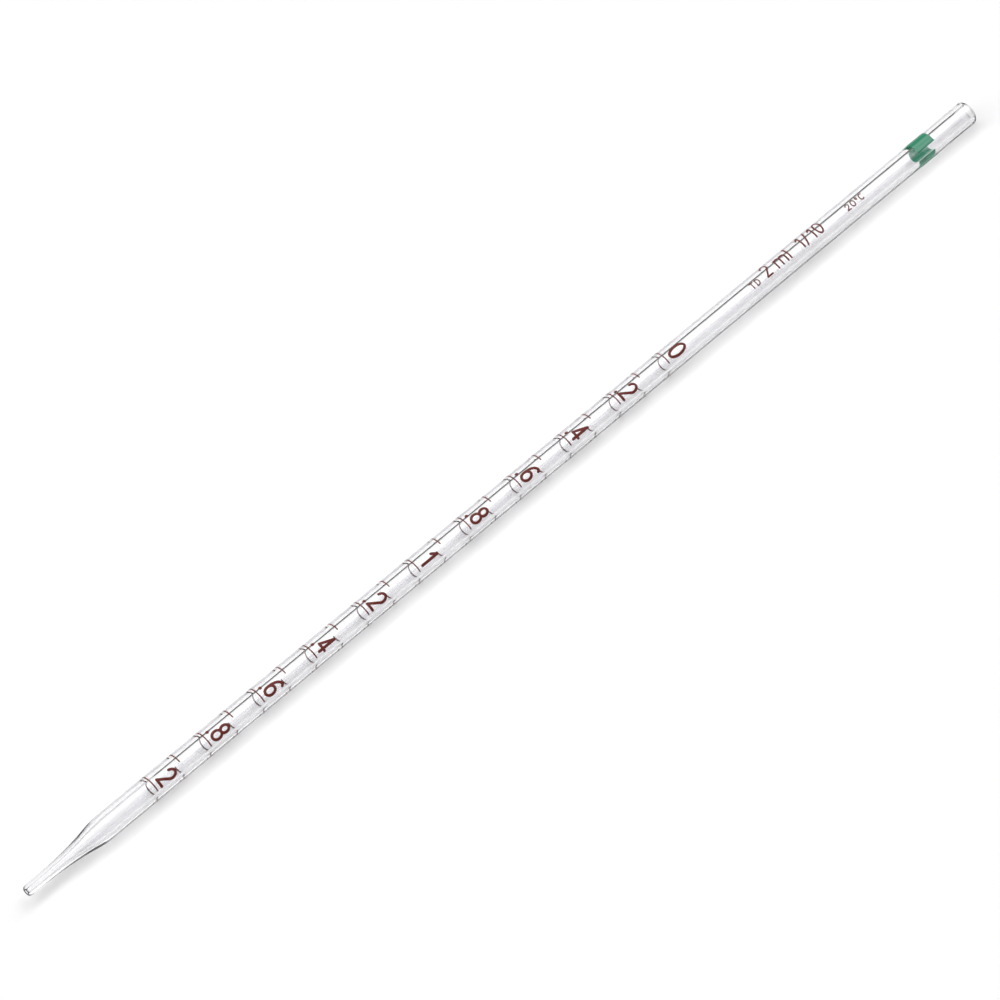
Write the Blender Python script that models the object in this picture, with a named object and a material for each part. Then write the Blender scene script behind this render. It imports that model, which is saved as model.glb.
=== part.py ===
"""A 2 ml graduated pipette lying on its side: one drawn glass tube and the enamel marks fused to it.

Metres, +Z up. The tube lies along X, tip towards -X and mouth towards +X, with its middle above the
origin and its lowest face on z = 0. Along the tube, t is the distance from the tip's end. Around the
tube, the turn is 0 at the top and grows towards -Y, and c is the arc length of that turn at the
tube's outer radius.
"""

import math

import bmesh
import bpy
from mathutils import Vector
from mathutils.geometry import delaunay_2d_cdt

MM = 0.001

# The tube
LENGTH = 341.5 * MM
OUTER_RADIUS = 3.53 * MM
BORE_RADIUS = 1.87 * MM
SIDES = 16
OUTER_PROFILE = [
    (0.0, 0.95), (0.25, 1.3), (0.9, 1.5), (7.2, 1.58), (11.0, 1.76), (14.1, 2.01), (16.4, 2.26),
    (18.8, 2.6), (21.1, 3.0), (23.2, 3.33), (25.6, 3.53), (340.5, 3.53), (341.0, 3.41), (341.35, 3.13),
    (341.5, 2.83),
]  # millimetres: t, radius
BORE_PROFILE = [
    (341.5, 2.43), (341.2, 2.08), (340.7, 1.87), (26.5, 1.87), (22.5, 1.62), (18.4, 1.2), (14.5, 0.85),
    (9.0, 0.62), (0.4, 0.5), (0.0, 0.62),
]  # millimetres: t, radius

# The scale: the spacing of its lines is the length of bore that holds one division
DIVISION_VOLUME = 100.0 * MM**3
DIVISION = DIVISION_VOLUME / (math.pi * BORE_RADIUS**2)
DIVISIONS = 20
LAST_LINE = 41.7 * MM
LINE_WIDTH = 0.38 * MM
LINE_START = math.radians(-220.0)
LONG_LINE_END = math.radians(57.2)
SHORT_LINE_END = math.radians(21.1)
# The print winds slowly round the tube: turn gained for each division above the middle of the scale
TWIST = math.radians(-0.65)

# The colour code band
BAND_START = 320.0 * MM
BAND_LENGTH = 6.2 * MM
BAND_TURN = (math.radians(-252.0), math.radians(37.0))

# Shallow grooves take the lines and the band, so that nothing stands lower than the glass
GROOVE_DEPTH = 0.12 * MM
GROOVE_SLOPE = 0.03 * MM
CLEARANCE = 0.01 * MM

# Numerals stand upright towards the mouth, just past their line
NUMERAL_HEIGHT = 6.0 * MM
NUMERAL_WIDTH = 3.0 * MM
NUMERAL_STROKE = 0.78 * MM
NUMERAL_RISE = 1.1 * MM
NUMERAL_TURN = math.radians(33.5)
POINT_DIAMETER = 1.0 * MM
POINT_RISE = 1.5 * MM
POINT_TURN = math.radians(-2.5)

# The inscription runs along the tube: text, distance of its left edge from the tip, height, width of
# a plain letter, and stroke
BASELINE_TURN = math.radians(38.8)
INSCRIPTION = [
    ("TD", 256.0 * MM, 2.1 * MM, 1.46 * MM, 0.36 * MM),
    ("2", 261.6 * MM, 4.5 * MM, 2.34 * MM, 0.52 * MM),
    ("ml", 265.9 * MM, 4.5 * MM, 2.34 * MM, 0.52 * MM),
    ("1/10", 274.95 * MM, 4.5 * MM, 2.25 * MM, 0.52 * MM),
    ("20°C", 292.5 * MM, 2.1 * MM, 1.46 * MM, 0.36 * MM),
]

# Enamel marks above the surface
MARK_GAP = 0.02 * MM
MARK_THICKNESS = 0.08 * MM
ROUND_STEPS = 4
CORNER_ANGLE = math.radians(50.0)

FACET = math.tau / SIDES
# A polygon's corners lie this much outside the circle of the same area
EQUAL_AREA = math.sqrt(FACET / math.sin(FACET))
FLAT_TO_CORNER = math.cos(FACET / 2)
AXIS_Z = OUTER_RADIUS * EQUAL_AREA * FLAT_TO_CORNER
LONGEST_CHORD = math.radians(14.0) * OUTER_RADIUS


def clear_scene():
    for obj in list(bpy.data.objects):
        bpy.data.objects.remove(obj, do_unlink=True)


def make_material(name, colour, roughness, transmission=0.0, ior=1.5):
    material = bpy.data.materials.new(name)
    material.use_nodes = True
    shader = material.node_tree.nodes["Principled BSDF"]
    shader.inputs["Base Color"].default_value = (*colour, 1.0)
    shader.inputs["Roughness"].default_value = roughness
    shader.inputs["Metallic"].default_value = 0.0
    shader.inputs["Transmission Weight"].default_value = transmission
    shader.inputs["IOR"].default_value = ior
    material.diffuse_color = (*colour, 1.0)
    return material


def tube_point(t, turn, radius):
    """The place at distance t from the tip, that much round from the top and that far from the axis."""
    return Vector((t - LENGTH / 2, -radius * math.sin(turn), AXIS_Z + radius * math.cos(turn)))


def on_flat(turn, corner_radius):
    """Distance from the axis to a polygon's flat side at a turn."""
    from_middle = turn - FACET * round(turn / FACET)
    return corner_radius * FLAT_TO_CORNER / math.cos(from_middle)


def corner_turns():
    return [FACET * (k + 0.5) for k in range(SIDES)]


def link_object(name, bm, material):
    bmesh.ops.recalc_face_normals(bm, faces=bm.faces)
    mesh = bpy.data.meshes.new(name)
    bm.to_mesh(mesh)
    bm.free()
    mesh.materials.append(material)
    mesh.shade_smooth()
    mesh.set_sharp_from_angle(angle=math.radians(30.0))
    obj = bpy.data.objects.new(name, mesh)
    bpy.context.scene.collection.objects.link(obj)
    return obj


def line_distance(number):
    """Distance of a graduation line from the tip; line 0 is the full volume's, nearest the tip."""
    return LAST_LINE + number * DIVISION


def is_long(number):
    return number % 2 == 0


def twist(number):
    return TWIST * (number - DIVISIONS / 2)


def line_turns(number):
    end = LONG_LINE_END if is_long(number) else SHORT_LINE_END
    return LINE_START + twist(number), end + twist(number)


def grooves():
    """Every groove as its two ends along the tube and its two ends around it."""
    found = []
    for number in range(DIVISIONS + 1):
        middle = line_distance(number)
        half = LINE_WIDTH / 2 + CLEARANCE
        found.append((middle - half, middle + half, *line_turns(number)))
    found.append((BAND_START - CLEARANCE, BAND_START + BAND_LENGTH + CLEARANCE, *BAND_TURN))
    return found


def covers(start, end, turn):
    """Whether a turn, counted either way round, lies in a stretch widened by one side at each end."""
    return any(start - FACET < turn + lap < end + FACET for lap in (-math.tau, 0.0, math.tau))


def tube_loops():
    """Loops of corners down the outside from tip to mouth, and back up the bore."""
    loops = []
    for t, radius in OUTER_PROFILE[:-4]:
        loops.append((t * MM, [radius * MM] * SIDES))
    for first, last, start, end in grooves():
        floor = [
            OUTER_RADIUS - (GROOVE_DEPTH if covers(start, end, turn) else 0.0) for turn in corner_turns()
        ]
        rim = [OUTER_RADIUS] * SIDES
        loops += [(first - GROOVE_SLOPE, rim), (first, floor), (last, floor), (last + GROOVE_SLOPE, rim)]
    for t, radius in OUTER_PROFILE[-4:] + BORE_PROFILE:
        loops.append((t * MM, [radius * MM] * SIDES))
    return loops


def make_tube(material):
    bm = bmesh.new()
    rows = []
    for t, radii in tube_loops():
        corners = zip(corner_turns(), radii)
        rows.append([bm.verts.new(tube_point(t, turn, radius * EQUAL_AREA)) for turn, radius in corners])
    for row, following in zip(rows, rows[1:] + rows[:1]):
        for k in range(SIDES):
            after = (k + 1) % SIDES
            bm.faces.new((row[k], row[after], following[after], following[k]))
    return link_object("glass_tube", bm, material)


def make_inlay(name, first, last, turns, material):
    """A strip that lies flush in its groove, bent to the same flats as the tube."""
    start, end = turns
    lap = range(-SIDES, SIDES)
    stops = [start] + [FACET * (k + 0.5) for k in lap if start < FACET * (k + 0.5) < end] + [end]
    inner = (OUTER_RADIUS - GROOVE_DEPTH) * EQUAL_AREA + CLEARANCE
    outer = OUTER_RADIUS * EQUAL_AREA - CLEARANCE
    bm = bmesh.new()
    rows = []
    for turn in stops:
        section = [(first, inner), (last, inner), (last, outer), (first, outer)]
        rows.append([bm.verts.new(tube_point(t, turn, on_flat(turn, radius))) for t, radius in section])
    for row, following in zip(rows, rows[1:]):
        for k in range(4):
            after = (k + 1) % 4
            bm.faces.new((row[k], row[after], following[after], following[k]))
    bm.faces.new(rows[0])
    bm.faces.new(rows[-1])
    return link_object(name, bm, material)


def arc(centre, radii, start, stop, steps):
    """Points on an ellipse, its angles in degrees counter-clockwise from the right."""
    angles = [math.radians(start + (stop - start) * i / steps) for i in range(steps + 1)]
    return [(centre[0] + radii[0] * math.cos(a), centre[1] + radii[1] * math.sin(a)) for a in angles]


def glyph_paths(character):
    """A character's strokes, as the middle of each, in a box one unit wide and one unit high."""
    if character == "0":
        return [arc((0.5, 0.5), (0.5, 0.5), 90, 450, 14)]
    if character == "1":
        return [[(0.0, 0.72), (1.0, 1.0), (1.0, 0.0)]]
    if character == "2":
        return [arc((0.5, 0.72), (0.5, 0.28), 170, -30, 8) + [(0.0, 0.0), (1.0, 0.0)]]
    if character == "4":
        return [[(1.0, 0.25), (0.0, 0.25), (0.7, 1.0), (0.7, 0.0)]]
    if character == "6":
        loop = arc((0.5, 0.29), (0.5, 0.29), 180, 540, 12)
        tail = arc((0.78, 0.36), (0.78, 0.64), 180, 85, 5) + [(0.98, 0.93)]
        return [loop, tail]
    if character == "8":
        return [arc((0.5, 0.27), (0.5, 0.27), 90, 450, 12), arc((0.5, 0.77), (0.42, 0.23), -90, 270, 10)]
    if character == "/":
        return [[(0.0, -0.05), (1.0, 1.05)]]
    if character == "l":
        return [[(0.5, 0.0), (0.5, 1.0)]]
    if character == "m":
        arches = [arc((0.25, 0.45), (0.25, 0.2), 180, 0, 5), arc((0.75, 0.45), (0.25, 0.2), 180, 0, 5)]
        return [[(0.0, 0.0), (0.0, 0.65)]] + [arch + [(arch[-1][0], 0.0)] for arch in arches]
    if character == "T":
        return [[(0.0, 1.0), (1.0, 1.0)], [(0.5, 1.0), (0.5, 0.0)]]
    if character == "D":
        return [[(0.0, 0.0), (0.0, 1.0)] + arc((0.3, 0.5), (0.7, 0.5), 90, -90, 8) + [(0.0, 0.0)]]
    if character == "C":
        return [arc((0.55, 0.5), (0.55, 0.5), 50, 310, 9)]
    if character == "°":
        return [arc((0.5, 0.8), (0.5, 0.2), 90, 450, 8)]
    raise ValueError(character)


# Width of a character against that of a plain letter
WIDTHS = {"0": 1.08, "1": 0.6, "/": 0.85, "l": 0.2, "m": 1.75, "°": 0.55}
NAMES = {"/": "slash", "°": "degree"}


def split_path(path):
    """A path as its smooth runs, cut where it turns a corner."""
    runs = [[path[0]]]
    for before, here, after in zip(path, path[1:], path[2:]):
        runs[-1].append(here)
        way_in = Vector(here) - Vector(before)
        way_out = Vector(after) - Vector(here)
        if abs(way_in.angle_signed(way_out)) > CORNER_ANGLE:
            runs.append([here])
    runs[-1].append(path[-1])
    return runs


def refine(run):
    """A run with its long steps around the tube divided, so that it can follow the curve."""
    points = [Vector(run[0])]
    for a, b in zip(run, run[1:]):
        parts = max(1, math.ceil(abs(b[1] - a[1]) / LONGEST_CHORD))
        points += [Vector(a).lerp(Vector(b), i / parts) for i in range(1, parts + 1)]
    return points


def normal(a, b):
    way = (b - a).normalized()
    return Vector((-way.y, way.x))


def stroke_cells(run, stroke):
    """A stroke of even width along a run of (t, c) points, as convex cells that share edges."""
    points = refine(run)
    closed = (points[0] - points[-1]).length < CLEARANCE
    half = stroke / 2
    normals = [normal(a, b) for a, b in zip(points, points[1:])]
    if closed:
        joined = [normals[-1]] + normals + [normals[0]]
    else:
        joined = [normals[0]] + normals + [normals[-1]]
    offsets = []
    for before, after in zip(joined, joined[1:]):
        middle = (before + after).normalized()
        offsets.append(middle * half / middle.dot(after))
    cells = []
    for i in range(len(points) - 1):
        a, b = points[i], points[i + 1]
        cells.append([a - offsets[i], b - offsets[i + 1], b + offsets[i + 1], a + offsets[i]])
    if not closed:
        cells.append(round_end(points[0], -offsets[0]))
        cells.append(round_end(points[-1], offsets[-1]))
    return cells


def round_end(centre, side):
    """Half a disc, from the side of a stroke round its end to the other side."""
    turns = [-math.pi * i / ROUND_STEPS for i in range(ROUND_STEPS + 1)]
    spins = [(math.cos(a), math.sin(a)) for a in turns]
    return [centre + Vector((side.x * x - side.y * y, side.x * y + side.y * x)) for x, y in spins]


def disc_cell(centre, radius, steps=10):
    angles = [math.tau * i / steps for i in range(steps)]
    return [Vector((centre[0] + radius * math.cos(a), centre[1] + radius * math.sin(a))) for a in angles]


def area(cell):
    return sum(a.x * b.y - b.x * a.y for a, b in zip(cell, cell[1:] + cell[:1])) / 2


def merge_cells(cells):
    """Cells that may overlap, as the points and triangles of one flat shape."""
    points = []
    faces = []
    for cell in cells:
        turned = cell if area(cell) > 0 else cell[::-1]
        faces.append(list(range(len(points), len(points) + len(turned))))
        points += turned
    inside_edges = 1
    merged = delaunay_2d_cdt(points, [], faces, inside_edges, 1e-8)
    triangles = [face for face, sources in zip(merged[2], merged[5]) if sources]
    return merged[0], triangles


def make_mark(name, cells, material):
    """A thin solid of enamel on the tube's surface, from flat (t, c) cells wrapped round it."""
    points, triangles = merge_cells(cells)
    foot = OUTER_RADIUS * EQUAL_AREA + MARK_GAP
    used = sorted({i for triangle in triangles for i in triangle})
    bm = bmesh.new()
    layers = []
    for radius in (foot, foot + MARK_THICKNESS):
        places = {i: tube_point(points[i].x, points[i].y / OUTER_RADIUS, radius) for i in used}
        layers.append({i: bm.verts.new(place) for i, place in places.items()})
    edges = [edge for face in triangles for edge in zip(face, face[1:] + face[:1])]
    shared = set(edges)
    for layer in layers:
        for triangle in triangles:
            bm.faces.new([layer[i] for i in triangle])
    for a, b in edges:
        if (b, a) not in shared:
            bm.faces.new((layers[0][a], layers[0][b], layers[1][b], layers[1][a]))
    return link_object(name, bm, material)


def text_cells(character, place, width, height, stroke):
    """A character's cells; place turns its (right, up) in metres into (t, c)."""
    cells = []
    for path in glyph_paths(character):
        half = stroke / 2
        placed = [place(half + u * (width - stroke), half + v * (height - stroke)) for u, v in path]
        for run in split_path(placed):
            cells += stroke_cells(run, stroke)
    return cells


def volume_text(number):
    """The volume delivered from the zero line down to a line, in tenths of a millilitre."""
    return DIVISIONS - number


def make_scale(material):
    for number in range(DIVISIONS + 1):
        tenths = volume_text(number)
        label = f"{tenths // 10}_{tenths % 10}"
        t = line_distance(number)
        half = LINE_WIDTH / 2
        make_inlay(f"graduation_{label}", t - half, t + half, line_turns(number), material)
        if is_long(number):
            make_numeral(label, tenths, t, twist(number), material)


def make_numeral(label, tenths, t, turned, material):
    """Whole millilitres show their figure, and tenths a point and a figure."""
    digit = str(tenths % 10 or tenths // 10)
    width = NUMERAL_WIDTH * WIDTHS.get(digit, 1.0)
    left = (NUMERAL_TURN + turned) * OUTER_RADIUS - width / 2

    def place(right, up):
        return t + NUMERAL_RISE + up, left + right

    cells = text_cells(digit, place, width, NUMERAL_HEIGHT, NUMERAL_STROKE)
    make_mark(f"numeral_{label}", cells, material)
    if tenths % 10:
        centre = (t + POINT_RISE, (POINT_TURN + turned) * OUTER_RADIUS)
        make_mark(f"decimal_point_{label}", [disc_cell(centre, POINT_DIAMETER / 2)], material)


def make_inscription(material):
    count = 0
    for text, left_edge, height, plain_width, stroke in INSCRIPTION:
        left = left_edge
        for character in text:
            count += 1
            width = max(plain_width * WIDTHS.get(character, 1.0), stroke * 1.01)

            def place(right, up, left=left):
                return left + right, BASELINE_TURN * OUTER_RADIUS - up

            cells = text_cells(character, place, width, height, stroke)
            make_mark(f"inscription_{count:02d}_{NAMES.get(character, character)}", cells, material)
            left += width + plain_width * 0.28


def main():
    clear_scene()
    glass = make_material("clear_glass", (0.95, 0.97, 0.96), 0.0, transmission=1.0, ior=1.474)
    brown = make_material("brown_enamel", (0.13, 0.02, 0.015), 0.35)
    green = make_material("green_enamel", (0.03, 0.27, 0.15), 0.3)
    make_tube(glass)
    make_scale(brown)
    make_inlay("colour_code_band", BAND_START, BAND_START + BAND_LENGTH, BAND_TURN, green)
    make_inscription(brown)


main()
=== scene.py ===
"""Looks of the graduated pipette: clear glass, fused enamel print, and a plain white studio.

Metres, in the CAD frame: the tube lies along X, tip towards -X. Along the tube, t is the distance
from the tip's end. Around it, the turn is 0 at the top and grows towards -Y, and c is the arc length
of that turn at the outer radius.
"""
import math

import bmesh
import bpy
from mathutils import Matrix, Vector
from mathutils.geometry import delaunay_2d_cdt


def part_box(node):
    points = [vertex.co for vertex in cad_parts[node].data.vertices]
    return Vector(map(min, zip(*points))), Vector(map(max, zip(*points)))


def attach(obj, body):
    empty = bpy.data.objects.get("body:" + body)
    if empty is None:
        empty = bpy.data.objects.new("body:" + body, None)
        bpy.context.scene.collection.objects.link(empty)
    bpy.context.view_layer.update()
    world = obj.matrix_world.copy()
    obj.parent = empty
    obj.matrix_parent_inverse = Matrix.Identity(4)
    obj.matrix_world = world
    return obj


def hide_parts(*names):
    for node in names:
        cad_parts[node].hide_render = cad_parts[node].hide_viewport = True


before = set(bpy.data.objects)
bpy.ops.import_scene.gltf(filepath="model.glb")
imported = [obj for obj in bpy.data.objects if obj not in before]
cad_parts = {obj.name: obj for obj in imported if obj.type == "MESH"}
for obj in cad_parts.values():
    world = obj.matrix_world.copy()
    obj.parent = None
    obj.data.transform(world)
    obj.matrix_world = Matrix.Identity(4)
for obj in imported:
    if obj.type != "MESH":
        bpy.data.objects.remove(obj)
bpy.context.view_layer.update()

MM = 0.001

# The tube, from its CAD solid, whose sides are flats of the same area as the round tube
CAD_SIDES = 16
CAD_FACET = math.tau / CAD_SIDES
FLAT_DISTANCE = math.sqrt(CAD_FACET / math.sin(CAD_FACET)) * math.cos(CAD_FACET / 2)
TUBE_LOW, TUBE_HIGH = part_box("glass_tube")
TIP_X = TUBE_LOW.x
LENGTH = TUBE_HIGH.x - TUBE_LOW.x
AXIS_Z = (TUBE_LOW.z + TUBE_HIGH.z) / 2
OUTER_RADIUS = (TUBE_HIGH.z - TUBE_LOW.z) / 2 / FLAT_DISTANCE
BORE_RADIUS = 1.87 * MM
TIP_OUTER_RADIUS = 1.5 * MM
TIP_BORE_RADIUS = 0.5 * MM
TIP_ROUNDING = 1.0 * MM
MOUTH_ROUNDING = 0.9 * MM
TUBE_SIDES = 160
OUTER_TAPER = [
    (1.0, 1.5), (4.0, 1.53), (7.2, 1.58), (11.0, 1.76), (14.1, 2.01), (16.4, 2.26), (18.8, 2.6), (21.1, 3.0),
    (23.2, 3.33), (25.6, 3.53),
]  # millimetres: t, radius
BORE_TAPER = [
    (1.0, 0.5), (9.0, 0.62), (14.5, 0.85), (18.4, 1.2), (22.5, 1.62), (27.5, 1.87),
]  # millimetres: t, radius
TAPER_STEP = 0.4 * MM
STRAIGHT_PARTS = 12
END_STEPS = 12

# The glass, and its draw lines: how far they are stretched along the tube, how fine and how high
GLASS_COLOUR = (0.982, 0.98, 0.991)
GLASS_IOR = 1.517
DRAW_STRETCH = 0.02
DRAW_FINENESS = 900.0
DRAW_STRENGTH = 0.012
DRAW_HEIGHT = 0.02 * MM

# The print
DIVISIONS = 20
TWIST = math.radians(-0.65)
LINE_WIDTH = 0.38 * MM
LINE_START = math.radians(-220.0)
LONG_LINE_END = math.radians(57.2)
SHORT_LINE_END = math.radians(21.1)
SHORT_LINE_GAP = (math.radians(-137.0), math.radians(-57.0))
BAND_TURN = (math.radians(-252.0), math.radians(37.0))
NUMERAL_WIDTH = 3.0 * MM
NUMERAL_STROKE = 0.78 * MM
NUMERAL_TURN = math.radians(33.5)
POINT_DIAMETER = 1.0 * MM
POINT_TURN = math.radians(-2.5)
BASELINE_TURN = math.radians(38.8)
INSCRIPTION = [
    ("TD", 2.1 * MM, 1.46 * MM, 0.36 * MM),
    ("2", 4.5 * MM, 2.34 * MM, 0.52 * MM),
    ("ml", 4.5 * MM, 2.34 * MM, 0.52 * MM),
    ("1/10", 4.5 * MM, 2.25 * MM, 0.52 * MM),
    ("20°C", 2.1 * MM, 1.46 * MM, 0.36 * MM),
]  # text, height, width of a plain letter, stroke

# Fused enamel: how far it goes into the glass and stands out of it, and its rounded shoulder
ENAMEL_SINK = 0.012 * MM
ENAMEL_RISE = 0.03 * MM
SHOULDER = 0.1 * MM
BEVEL_ROW = 0.3
STEP_AROUND = 0.22 * MM
CORNER_ANGLE = math.radians(50.0)
CURVE_STEPS = 3
END_PARTS = 8
BAND_PARTS_AROUND = 90
BAND_PARTS_ACROSS = 6

# The enamels' noises per metre: mottled colour, uneven gloss and relief
MOTTLE_FINENESS = 4500.0
GLOSS_FINENESS = 2500.0
RELIEF_FINENESS = 6000.0
RELIEF_STRENGTH = 0.25
RELIEF_HEIGHT = 0.01 * MM
BACK_ROUGHNESS = 0.9

# The enamels' darkest and lightest colours. The green's back is a paler copy of the green: painted light,
# for the light that gets through the thin green enamel.
BROWN = ((0.1, 0.011, 0.008), (0.14, 0.018, 0.013))
GREEN = ((0.026, 0.195, 0.112), (0.035, 0.24, 0.14))
GREEN_BACK_PAINTED_LIGHT = ((0.055, 0.37, 0.22), (0.07, 0.42, 0.26))

# The camera looks at the tube from its tip's side and from towards -Y
CAMERA_TILT = math.radians(22.1)
CAMERA_TURN = math.radians(36.0)
CAMERA_DISTANCE = 1.3366
CAMERA_LENS = 186.3
TUBE_ANGLE = math.radians(39.64)
AIM_FROM_TIP = 163.6 * MM
AIM_BELOW_AXIS = 0.075 * MM

# The studio: a white surface under one large softbox, in a dark room
FLOOR_GAP = 0.05 * MM
FLOOR_SIZE = 8.0
FLOOR_ALBEDO = 0.82
BACKDROP_LIGHT = 0.97
ROOM_LIGHT = 0.04
STRONGEST = 4.0
SOFTBOX = [
    (40, 0.0), (47, 1.05), (52, 1.8), (57, 2.5), (62, 2.8), (67, 2.6), (72, 2.15), (80, 1.6), (92, 1.5),
    (102, 1.35), (107, 1.25), (112, 0.8), (117, 0.5), (127, 0.4), (134, 0.6), (141, 1.1), (146, 0.6),
    (150, 0.0),
]  # degrees from the +Y horizon up and over, radiance
BODY_HIGHLIGHT = [
    (88, 0.0), (93, 1.15), (98, 2.9), (103, 2.1), (107, 1.65), (114, 1.7), (122, 0.85), (127, 0.4),
    (131, 0.0),
]
TIP_HIGHLIGHT = [
    (3, 0.0), (7, 0.3), (12, 0.8), (17, 1.0), (22, 0.45), (27, 0.15), (32, 0.15), (42, 0.4), (52, 0.65),
    (57, 0.5), (62, 0.2), (66, 0.0),
]
# How far along the tube those two are seen, as the +X part of their direction
HIGHLIGHT_ENDS = (0.15, 0.298, 0.6)


def tube_point(t, turn, radius):
    return Vector((TIP_X + t, -radius * math.sin(turn), AXIS_Z + radius * math.cos(turn)))


# --- Materials ---------------------------------------------------------------------------------


def new_material(name):
    material = bpy.data.materials.new(name)
    material.use_nodes = True
    nodes = material.node_tree.nodes
    return material, nodes, material.node_tree.links, nodes["Principled BSDF"]


def noise(nodes, links, source, scale, detail=2.0):
    node = nodes.new("ShaderNodeTexNoise")
    node.inputs["Scale"].default_value = scale
    node.inputs["Detail"].default_value = detail
    links.new(source, node.inputs["Vector"])
    return node.outputs["Fac"]


def stretched_coordinates(nodes, links, scale):
    coordinates = nodes.new("ShaderNodeTexCoord")
    mapping = nodes.new("ShaderNodeMapping")
    mapping.inputs["Scale"].default_value = scale
    links.new(coordinates.outputs["Object"], mapping.inputs["Vector"])
    return mapping.outputs["Vector"]


def add_bump(nodes, links, height, strength, distance):
    bump = nodes.new("ShaderNodeBump")
    bump.inputs["Strength"].default_value = strength
    bump.inputs["Distance"].default_value = distance
    links.new(height, bump.inputs["Height"])
    links.new(bump.outputs["Normal"], nodes["Principled BSDF"].inputs["Normal"])


def glass_material():
    """Clear drawn glass: fire-polished, with faint draw lines along the tube."""
    material, nodes, links, shader = new_material("clear_drawn_glass")
    shader.inputs["Base Color"].default_value = (*GLASS_COLOUR, 1.0)
    shader.inputs["Roughness"].default_value = 0.0
    shader.inputs["IOR"].default_value = GLASS_IOR
    shader.inputs["Transmission Weight"].default_value = 1.0
    place = stretched_coordinates(nodes, links, (DRAW_STRETCH, 1.0, 1.0))
    add_bump(nodes, links, noise(nodes, links, place, DRAW_FINENESS), DRAW_STRENGTH, DRAW_HEIGHT)
    return material


def enamel(name, skin, back, roughness, shine):
    """The enamel's open skin, and its matt back where it has fused with the glass."""
    front = enamel_material(name, *skin, roughness, shine)
    return front, enamel_material(f"{name}_back", *back, BACK_ROUGHNESS, 0.0)


def enamel_material(name, dark, light, roughness, shine):
    """Fused enamel: fine mottling in its colour and a skin that isn't quite even."""
    material, nodes, links, shader = new_material(name)
    place = stretched_coordinates(nodes, links, (1.0, 1.0, 1.0))
    ramp = nodes.new("ShaderNodeValToRGB")
    ramp.color_ramp.elements[0].position = 0.3
    ramp.color_ramp.elements[0].color = (*dark, 1.0)
    ramp.color_ramp.elements[1].position = 0.7
    ramp.color_ramp.elements[1].color = (*light, 1.0)
    links.new(noise(nodes, links, place, MOTTLE_FINENESS, 3.0), ramp.inputs["Fac"])
    links.new(ramp.outputs["Color"], shader.inputs["Base Color"])
    shader.inputs["Specular IOR Level"].default_value = shine
    gloss = nodes.new("ShaderNodeMapRange")
    gloss.inputs["To Min"].default_value = roughness - 0.06
    gloss.inputs["To Max"].default_value = roughness + 0.08
    links.new(noise(nodes, links, place, GLOSS_FINENESS), gloss.inputs["Value"])
    links.new(gloss.outputs["Result"], shader.inputs["Roughness"])
    add_bump(nodes, links, noise(nodes, links, place, RELIEF_FINENESS), RELIEF_STRENGTH, RELIEF_HEIGHT)
    return material


def let_light_through(material):
    """Thin enamel lets light through: what has already been scattered once passes it unchanged."""
    nodes, links = material.node_tree.nodes, material.node_tree.links
    path = nodes.new("ShaderNodeLightPath")
    scattered = nodes.new("ShaderNodeMath")
    scattered.operation = "GREATER_THAN"
    scattered.inputs[1].default_value = 0.5
    links.new(path.outputs["Diffuse Depth"], scattered.inputs[0])
    mix = nodes.new("ShaderNodeMixShader")
    links.new(scattered.outputs["Value"], mix.inputs["Fac"])
    links.new(nodes["Principled BSDF"].outputs["BSDF"], mix.inputs[1])
    links.new(nodes.new("ShaderNodeBsdfTransparent").outputs["BSDF"], mix.inputs[2])
    links.new(mix.outputs["Shader"], nodes["Material Output"].inputs["Surface"])


# --- The glass ---------------------------------------------------------------------------------


def eased(points, step):
    """A smooth curve through (t, radius) points in millimetres, as points a step apart in metres."""
    slopes = [(b[1] - a[1]) / (b[0] - a[0]) for a, b in zip(points, points[1:])]
    tangents = [slopes[0]] + [(a + b) / 2 for a, b in zip(slopes, slopes[1:])] + [0.0]
    found = []
    for (a, b, m0, m1) in zip(points, points[1:], tangents, tangents[1:]):
        width = b[0] - a[0]
        count = max(1, round(width * MM / step))
        for i in range(count):
            x = i / count
            rise = (2 * x**3 - 3 * x**2 + 1) * a[1] + (3 * x**2 - 2 * x**3) * b[1]
            bend = (x**3 - 2 * x**2 + x) * m0 + (x**3 - x**2) * m1
            found.append(((a[0] + width * x) * MM, (rise + bend * width) * MM))
    found.append((points[-1][0] * MM, points[-1][1] * MM))
    return found


def rounded_end(t, reach, outer, bore):
    """The fire-polished end at t, as half an ellipse from the outside to the bore."""
    middle, half = (outer + bore) / 2, (outer - bore) / 2
    angles = [math.pi * i / END_STEPS for i in range(END_STEPS + 1)]
    return [(t + reach * math.sin(a), middle + half * math.cos(a)) for a in angles]


def tube_profile():
    """The tube's section: down the outside from tip to mouth, round the rim, and back up the bore."""
    straight = [(LENGTH * i / STRAIGHT_PARTS, OUTER_RADIUS) for i in range(2, STRAIGHT_PARTS)]
    mouth = rounded_end(LENGTH - MOUTH_ROUNDING, MOUTH_ROUNDING, OUTER_RADIUS, BORE_RADIUS)
    bore = [(t, BORE_RADIUS) for t, _ in reversed(straight)]
    tip = rounded_end(TIP_ROUNDING, -TIP_ROUNDING, TIP_OUTER_RADIUS, TIP_BORE_RADIUS)[::-1]
    inside = eased(BORE_TAPER, TAPER_STEP)[::-1]
    return eased(OUTER_TAPER, TAPER_STEP) + straight + mouth + bore + inside[:-1] + tip[:-1]


def finish_mesh(name, bm, *materials):
    bmesh.ops.recalc_face_normals(bm, faces=bm.faces)
    mesh = bpy.data.meshes.new(name)
    bm.to_mesh(mesh)
    bm.free()
    for material in materials:
        mesh.materials.append(material)
    mesh.shade_smooth()
    piece = bpy.data.objects.new(name, mesh)
    bpy.context.scene.collection.objects.link(piece)
    return piece


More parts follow.
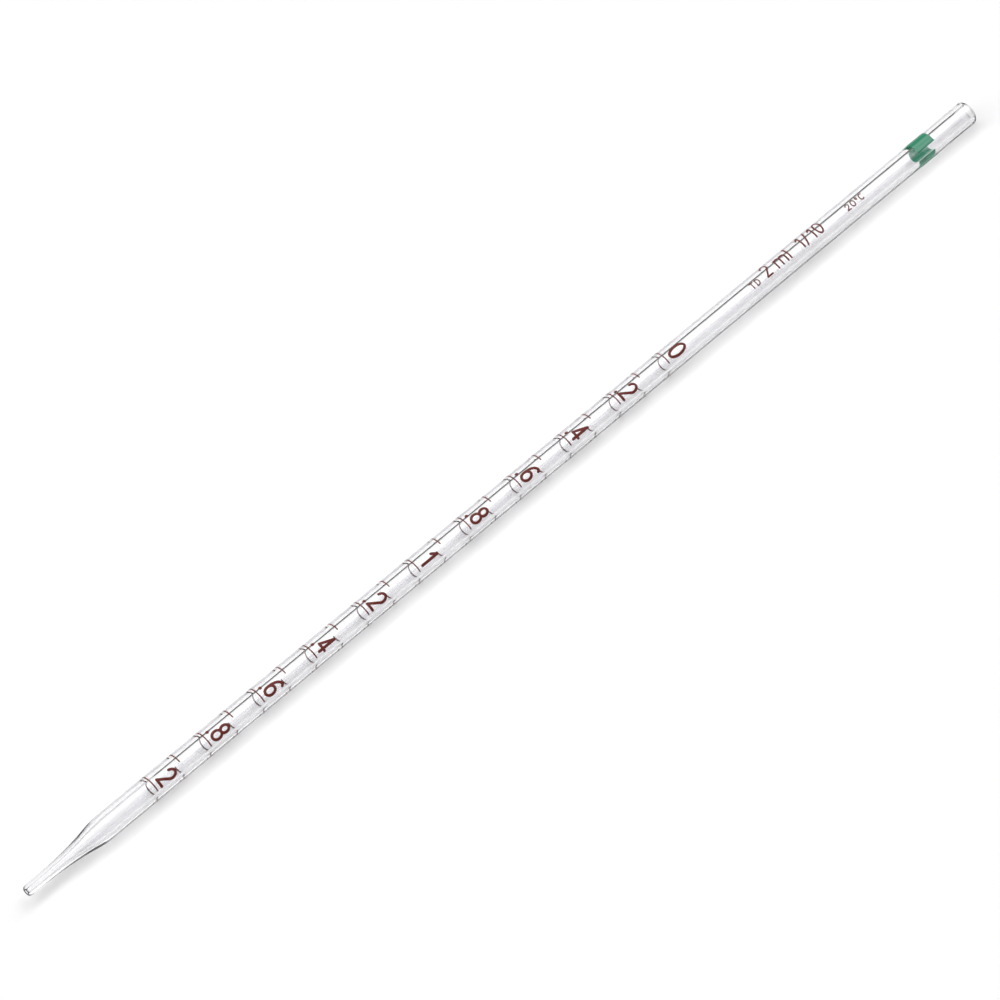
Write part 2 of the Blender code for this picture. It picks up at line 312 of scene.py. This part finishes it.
def make_glass(material):
    bm = bmesh.new()
    turns = [math.tau * k / TUBE_SIDES for k in range(TUBE_SIDES)]
    rows = [[bm.verts.new(tube_point(t, turn, radius)) for turn in turns] for t, radius in tube_profile()]
    for row, following in zip(rows, rows[1:] + rows[:1]):
        for k in range(TUBE_SIDES):
            after = (k + 1) % TUBE_SIDES
            bm.faces.new((row[k], row[after], following[after], following[k]))
    return finish_mesh("drawn_glass", bm, material)


# --- Enamel strokes ----------------------------------------------------------------------------


def arc(centre, radii, start, stop, steps):
    """Points on an ellipse, its angles in degrees counter-clockwise from the right."""
    angles = [math.radians(start + (stop - start) * i / steps) for i in range(steps + 1)]
    return [(centre[0] + radii[0] * math.cos(a), centre[1] + radii[1] * math.sin(a)) for a in angles]


def glyph_paths(character):
    """A character's strokes, as the middle of each, in a box one unit wide and one unit high."""
    n = CURVE_STEPS
    if character == "0":
        return [arc((0.5, 0.5), (0.5, 0.5), 90, 450, 14 * n)]
    if character == "1":
        return [[(0.0, 0.72), (1.0, 1.0), (1.0, 0.0)]]
    if character == "2":
        return [arc((0.5, 0.72), (0.5, 0.28), 170, -30, 8 * n) + [(0.0, 0.0), (1.0, 0.0)]]
    if character == "4":
        return [[(1.0, 0.25), (0.0, 0.25), (0.7, 1.0), (0.7, 0.0)]]
    if character == "6":
        loop = arc((0.5, 0.29), (0.5, 0.29), 180, 540, 12 * n)
        tail = arc((0.78, 0.36), (0.78, 0.64), 180, 85, 5 * n) + [(0.98, 0.93)]
        return [loop, tail]
    if character == "8":
        lower = arc((0.5, 0.27), (0.5, 0.27), 90, 450, 12 * n)
        upper = arc((0.5, 0.77), (0.42, 0.23), -90, 270, 10 * n)
        return [lower, upper]
    if character == "/":
        return [[(0.0, -0.05), (1.0, 1.05)]]
    if character == "l":
        return [[(0.5, 0.0), (0.5, 1.0)]]
    if character == "m":
        arches = [arc((x, 0.45), (0.25, 0.2), 180, 0, 5 * n) for x in (0.25, 0.75)]
        return [[(0.0, 0.0), (0.0, 0.65)]] + [arch + [(arch[-1][0], 0.0)] for arch in arches]
    if character == "T":
        return [[(0.0, 1.0), (1.0, 1.0)], [(0.5, 1.0), (0.5, 0.0)]]
    if character == "D":
        return [[(0.0, 0.0), (0.0, 1.0)] + arc((0.3, 0.5), (0.7, 0.5), 90, -90, 8 * n) + [(0.0, 0.0)]]
    if character == "C":
        return [arc((0.55, 0.5), (0.55, 0.5), 50, 310, 9 * n)]
    if character == "°":
        return [arc((0.5, 0.8), (0.5, 0.2), 90, 450, 8 * n)]
    raise ValueError(character)


def split_path(path):
    """A path as its smooth runs, cut where it turns a corner."""
    runs = [[path[0]]]
    for before, here, after in zip(path, path[1:], path[2:]):
        runs[-1].append(here)
        way_in = Vector(here) - Vector(before)
        way_out = Vector(after) - Vector(here)
        if abs(way_in.angle_signed(way_out)) > CORNER_ANGLE:
            runs.append([here])
    runs[-1].append(path[-1])
    return runs


def refine(run):
    """A run with its long steps around the tube divided, so that it can follow the curve."""
    points = [Vector(run[0])]
    for a, b in zip(run, run[1:]):
        parts = max(1, math.ceil((Vector(b) - Vector(a)).length / STEP_AROUND / 2))
        points += [Vector(a).lerp(Vector(b), i / parts) for i in range(1, parts + 1)]
    return points


def normal(a, b):
    way = (b - a).normalized()
    return Vector((-way.y, way.x))


def lanes(half):
    """Across a stroke: where its shoulders and its crown are, as shares of half its width."""
    share = min(0.5, SHOULDER / half)
    row = share * BEVEL_ROW
    stops = [-1.0, -1.0 + row, -1.0 + share, 0.0, 1.0 - share, 1.0 - row, 1.0]
    return stops if share < 0.5 else [-1.0, -0.85, -0.5, 0.0, 0.5, 0.85, 1.0]


def stroke_cells(run, stroke):
    """A stroke of even width along a run of (t, c) points, as convex cells that share edges."""
    points = refine(run)
    closed = (points[0] - points[-1]).length < 1e-6
    half = stroke / 2
    normals = [normal(a, b) for a, b in zip(points, points[1:])]
    if closed:
        joined = [normals[-1]] + normals + [normals[0]]
    else:
        joined = [normals[0]] + normals + [normals[-1]]
    offsets = []
    for before, after in zip(joined, joined[1:]):
        middle = (before + after).normalized()
        offsets.append(middle * half / middle.dot(after))
    cells = []
    stops = lanes(half)
    for i in range(len(points) - 1):
        a, b, da, db = points[i], points[i + 1], offsets[i], offsets[i + 1]
        for low, high in zip(stops, stops[1:]):
            cells.append([a + da * low, b + db * low, b + db * high, a + da * high])
    if not closed:
        cells += round_end(points[0], -offsets[0], stops)
        cells += round_end(points[-1], offsets[-1], stops)
    return cells


def round_end(centre, side, stops):
    """Half a disc, from the side of a stroke round its end to the other side, in rings."""
    rims = []
    for share in [stop for stop in stops if stop > 0]:
        turns = [-math.pi * i / END_PARTS for i in range(END_PARTS + 1)]
        spins = [(share * math.cos(a), share * math.sin(a)) for a in turns]
        rims.append([centre + Vector((side.x * x - side.y * y, side.x * y + side.y * x)) for x, y in spins])
    cells = [[centre, a, b] for a, b in zip(rims[0], rims[0][1:])]
    for inner, outer in zip(rims, rims[1:]):
        for i in range(END_PARTS):
            cells.append([inner[i], outer[i], outer[i + 1], inner[i + 1]])
    return cells


def disc_cells(centre, radius):
    side = Vector((radius, 0.0))
    return round_end(centre, side, lanes(radius)) + round_end(centre, -side, lanes(radius))


def area(cell):
    return sum(a.x * b.y - b.x * a.y for a, b in zip(cell, cell[1:] + cell[:1])) / 2


def covers(cell, point):
    """Whether a convex, counter-clockwise cell covers a point."""
    for a, b in zip(cell, cell[1:] + cell[:1]):
        if (b.x - a.x) * (point.y - a.y) - (b.y - a.y) * (point.x - a.x) < -1e-7:
            return False
    return True


def flat_box(cell):
    across, up = [point.x for point in cell], [point.y for point in cell]
    return min(across), max(across), min(up), max(up)


def merge_cells(cells):
    """Cells that may overlap, as the points and triangles of one flat shape."""
    start = cells[0][0]
    points = []
    faces = []
    turned = []
    for cell in cells:
        local = [(point - start) / MM for point in cell]
        if area(local) < 0:
            local.reverse()
        turned.append(local)
        faces.append(list(range(len(points), len(points) + len(local))))
        points += local
    boxes = [flat_box(cell) for cell in turned]
    merged = delaunay_2d_cdt(points, [], faces, 0, 1e-5)
    triangles = []
    for face in merged[2]:
        middle = sum((merged[0][i] for i in face), Vector((0.0, 0.0))) / 3
        for cell, (left, right, low, high) in zip(turned, boxes):
            if left <= middle.x <= right and low <= middle.y <= high and covers(cell, middle):
                triangles.append(face)
                break
    return [point * MM + start for point in merged[0]], triangles


def distance_to(point, a, b):
    way = b - a
    share = max(0.0, min(1.0, (point - a).dot(way) / way.length_squared))
    return (point - (a + way * share)).length


def make_mark(name, cells, finish):
    """A thin solid of fused enamel with rounded shoulders, from flat (t, c) cells."""
    points, triangles = merge_cells(cells)
    edges = [edge for face in triangles for edge in zip(face, face[1:] + face[:1])]
    shared = set(edges)
    rim = [(points[a], points[b]) for a, b in edges if (b, a) not in shared]
    used = sorted({i for triangle in triangles for i in triangle})
    bm = bmesh.new()
    under, over = {}, {}
    for i in used:
        t, turn = points[i].x, points[i].y / OUTER_RADIUS
        near = [edge for edge in rim if (edge[0] - points[i]).length < 3 * STEP_AROUND + SHOULDER]
        depth = min([distance_to(points[i], a, b) for a, b in near] + [SHOULDER]) / SHOULDER
        rise = ENAMEL_RISE * math.sqrt(max(0.0, 1.0 - (1.0 - depth) ** 2))
        under[i] = bm.verts.new(tube_point(t, turn, OUTER_RADIUS - ENAMEL_SINK))
        over[i] = bm.verts.new(tube_point(t, turn, OUTER_RADIUS + rise))
    for side, layer in enumerate((over, under)):
        for triangle in triangles:
            bm.faces.new([layer[i] for i in triangle]).material_index = side
    for a, b in edges:
        if (b, a) not in shared:
            bm.faces.new((under[a], under[b], over[b], over[a]))
    piece = finish_mesh(name, bm, *finish)
    # So small a mark casts no shadow that can be seen on the floor or on the glass
    piece.visible_shadow = False
    piece.visible_diffuse = False
    return piece


WIDTHS = {"0": 1.08, "1": 0.6, "/": 0.85, "l": 0.2, "m": 1.75, "°": 0.55}
NAMES = {"/": "slash", "°": "degree"}


def text_cells(character, place, width, height, stroke):
    """A character's cells; place turns its (right, up) in metres into (t, c)."""
    cells = []
    for path in glyph_paths(character):
        half = stroke / 2
        placed = [place(half + u * (width - stroke), half + v * (height - stroke)) for u, v in path]
        for run in split_path(placed):
            cells += stroke_cells(run, stroke)
    return cells


def along(node):
    """Where a CAD node starts and ends along the tube, from the tip."""
    low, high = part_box(node)
    return low.x - TIP_X, high.x - TIP_X


def fuse(piece, node):
    """A piece of the tube: it rides with it and stands for its CAD solid."""
    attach(piece, "root")
    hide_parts(node)


def make_line(label, number, material):
    """A long line in one stretch, or a short one in two: the front, and the back for reading from there."""
    node = f"graduation_{label}"
    start, end = along(node)
    turned = TWIST * (number - DIVISIONS / 2)
    stretches = [(LINE_START, LONG_LINE_END)]
    if number % 2:
        stretches = [(LINE_START, SHORT_LINE_GAP[0]), (SHORT_LINE_GAP[1], SHORT_LINE_END)]
    middle, half = (start + end) / 2, LINE_WIDTH / 2
    cells = []
    for first, last in stretches:
        begin, finish = (first + turned) * OUTER_RADIUS + half, (last + turned) * OUTER_RADIUS - half
        cells += stroke_cells([(middle, begin), (middle, finish)], LINE_WIDTH)
    fuse(make_mark(f"line_{label}", cells, material), node)


def make_numeral(label, number, digit, material):
    node = f"numeral_{label}"
    start, end = along(node)
    turned = TWIST * (number - DIVISIONS / 2)
    width = NUMERAL_WIDTH * WIDTHS.get(digit, 1.0)
    left = (NUMERAL_TURN + turned) * OUTER_RADIUS - width / 2

    def place(right, up):
        return start + up, left + right

    cells = text_cells(digit, place, width, end - start, NUMERAL_STROKE)
    fuse(make_mark(f"figure_{label}", cells, material), node)


def make_point(label, number, material):
    node = f"decimal_point_{label}"
    start, end = along(node)
    turned = TWIST * (number - DIVISIONS / 2)
    centre = Vector(((start + end) / 2, (POINT_TURN + turned) * OUTER_RADIUS))
    piece = make_mark(f"point_{label}", disc_cells(centre, POINT_DIAMETER / 2), material)
    fuse(piece, node)


def make_scale(material):
    for number in range(DIVISIONS + 1):
        tenths = DIVISIONS - number
        label = f"{tenths // 10}_{tenths % 10}"
        make_line(label, number, material)
        if number % 2 == 0:
            make_numeral(label, number, str(tenths % 10 or tenths // 10), material)
            if tenths % 10:
                make_point(label, number, material)


def make_inscription(material):
    count = 0
    for text, height, plain_width, stroke in INSCRIPTION:
        for character in text:
            count += 1
            node = f"inscription_{count:02d}_{NAMES.get(character, character)}"
            left, _ = along(node)
            width = max(plain_width * WIDTHS.get(character, 1.0), stroke * 1.01)

            def place(right, up, left=left):
                return left + right, BASELINE_TURN * OUTER_RADIUS - up

            cells = text_cells(character, place, width, height, stroke)
            fuse(make_mark(f"letter_{count:02d}", cells, material), node)


def make_band(material):
    """The colour code band: one brushed stroke round the tube."""
    start, end = along("colour_code_band")
    width = end - start
    first, last = BAND_TURN
    stops = [first + (last - first) * i / BAND_PARTS_AROUND for i in range(BAND_PARTS_AROUND + 1)]
    bevel = BEVEL_ROW * SHOULDER
    rows = [start, start + bevel, start + SHOULDER]
    rows += [start + width * i / BAND_PARTS_ACROSS for i in range(1, BAND_PARTS_ACROSS)]
    rows += [end - SHOULDER, end - bevel, end]
    cells = []
    for a, b in zip(stops, stops[1:]):
        for low, high in zip(rows, rows[1:]):
            corners = [(low, a), (high, a), (high, b), (low, b)]
            cells.append([Vector((t, turn * OUTER_RADIUS)) for t, turn in corners])
    fuse(make_mark("green_band", cells, material), "colour_code_band")


# --- The studio --------------------------------------------------------------------------------


def make_camera():
    """The camera's back points from the aim to it; the tube climbs to the right across the picture."""
    across = Vector((0.0, -math.sin(CAMERA_TURN), math.cos(CAMERA_TURN)))
    back = across * math.cos(CAMERA_TILT) - Vector((1.0, 0.0, 0.0)) * math.sin(CAMERA_TILT)
    tube = (Vector((1.0, 0.0, 0.0)) - back * back.x).normalized()
    right = Matrix.Rotation(-TUBE_ANGLE, 3, back) @ tube
    up = back.cross(right)
    turn = Matrix((right, up, back)).transposed().to_4x4()
    below = right * math.sin(TUBE_ANGLE) - up * math.cos(TUBE_ANGLE)
    aim = tube_point(AIM_FROM_TIP, 0.0, 0.0) + below * AIM_BELOW_AXIS
    data = bpy.data.cameras.new("camera")
    data.lens = CAMERA_LENS
    data.sensor_width = 36.0
    data.clip_start = 0.01
    data.clip_end = 50.0
    camera = bpy.data.objects.new("camera", data)
    camera.matrix_world = Matrix.Translation(aim + back * CAMERA_DISTANCE) @ turn
    bpy.context.scene.collection.objects.link(camera)
    bpy.context.scene.camera = camera


def make_floor():
    material, _, _, shader = new_material("white_surface")
    shader.inputs["Base Color"].default_value = (FLOOR_ALBEDO, FLOOR_ALBEDO, FLOOR_ALBEDO, 1.0)
    shader.inputs["Roughness"].default_value = 1.0
    shader.inputs["Specular IOR Level"].default_value = 0.0
    bm = bmesh.new()
    bmesh.ops.create_grid(bm, x_segments=4, y_segments=4, size=FLOOR_SIZE / 2)
    floor = finish_mesh("white_surface", bm, material)
    floor.location.z = AXIS_Z - OUTER_RADIUS - FLOOR_GAP


def ramp_node(nodes, links, source, stops):
    """A curve through (degrees, value) stops, as a colour ramp over half a turn."""
    ramp = nodes.new("ShaderNodeValToRGB")
    elements = ramp.color_ramp.elements
    while len(elements) < len(stops):
        elements.new(0.5)
    for element, (degrees, value) in zip(elements, stops):
        element.position = degrees / 180
        share = value / STRONGEST
        element.color = (share, share, share, 1.0)
    links.new(source, ramp.inputs["Fac"])
    return ramp.outputs["Color"]


def math_node(nodes, links, operation, first, second):
    node = nodes.new("ShaderNodeMath")
    node.operation = operation
    for socket, value in zip(node.inputs, (first, second)):
        if isinstance(value, float):
            socket.default_value = value
        else:
            links.new(value, socket)
    return node.outputs["Value"]


def make_room():
    """A long softbox above the tube in a dark room, and a pale backdrop for the camera."""
    world = bpy.data.worlds.new("room")
    bpy.context.scene.world = world
    world.use_nodes = True
    nodes, links = world.node_tree.nodes, world.node_tree.links
    background = nodes["Background"]
    background.inputs["Color"].default_value = (1.0, 1.0, 1.0, 1.0)
    coordinates = nodes.new("ShaderNodeTexCoord")
    parts = nodes.new("ShaderNodeSeparateXYZ")
    links.new(coordinates.outputs["Generated"], parts.inputs["Vector"])
    turn = math_node(nodes, links, "ARCTAN2", parts.outputs["Z"], parts.outputs["Y"])
    half_turns = math_node(nodes, links, "DIVIDE", turn, math.pi)
    total = ramp_node(nodes, links, half_turns, SOFTBOX)
    for stops, first, last in zip((TIP_HIGHLIGHT, BODY_HIGHLIGHT), HIGHLIGHT_ENDS, HIGHLIGHT_ENDS[1:]):
        beyond = math_node(nodes, links, "GREATER_THAN", parts.outputs["X"], first)
        before = math_node(nodes, links, "LESS_THAN", parts.outputs["X"], last)
        panel = math_node(nodes, links, "MULTIPLY", beyond, before)
        lit = math_node(nodes, links, "MULTIPLY", ramp_node(nodes, links, half_turns, stops), panel)
        total = math_node(nodes, links, "ADD", total, lit)
    scaled = math_node(nodes, links, "MULTIPLY", total, STRONGEST)
    light = math_node(nodes, links, "ADD", scaled, ROOM_LIGHT)
    below = math_node(nodes, links, "LESS_THAN", turn, 0.0)
    with_floor = math_node(nodes, links, "MAXIMUM", light, below)
    seen = nodes.new("ShaderNodeLightPath")
    strength = nodes.new("ShaderNodeMix")
    links.new(seen.outputs["Is Camera Ray"], strength.inputs["Factor"])
    links.new(with_floor, strength.inputs["A"])
    strength.inputs["B"].default_value = BACKDROP_LIGHT
    links.new(strength.outputs["Result"], background.inputs["Strength"])


def main():
    scene = bpy.context.scene
    scene.view_settings.view_transform = "Standard"
    scene.cycles.blur_glossy = 0.0
    make_camera()
    make_floor()
    make_room()
    fuse(make_glass(glass_material()), "glass_tube")
    brown = enamel("brown_enamel_print", BROWN, BROWN, 0.4, 0.25)
    # The green's back gets the paler colours: painted light, for the floor's light coming through the thin
    # enamel
    green = enamel("green_enamel_band", GREEN, GREEN_BACK_PAINTED_LIGHT, 0.22, 0.5)
    for material in green:
        let_light_through(material)
    make_scale(brown)
    make_inscription(brown)
    make_band(green)


main()
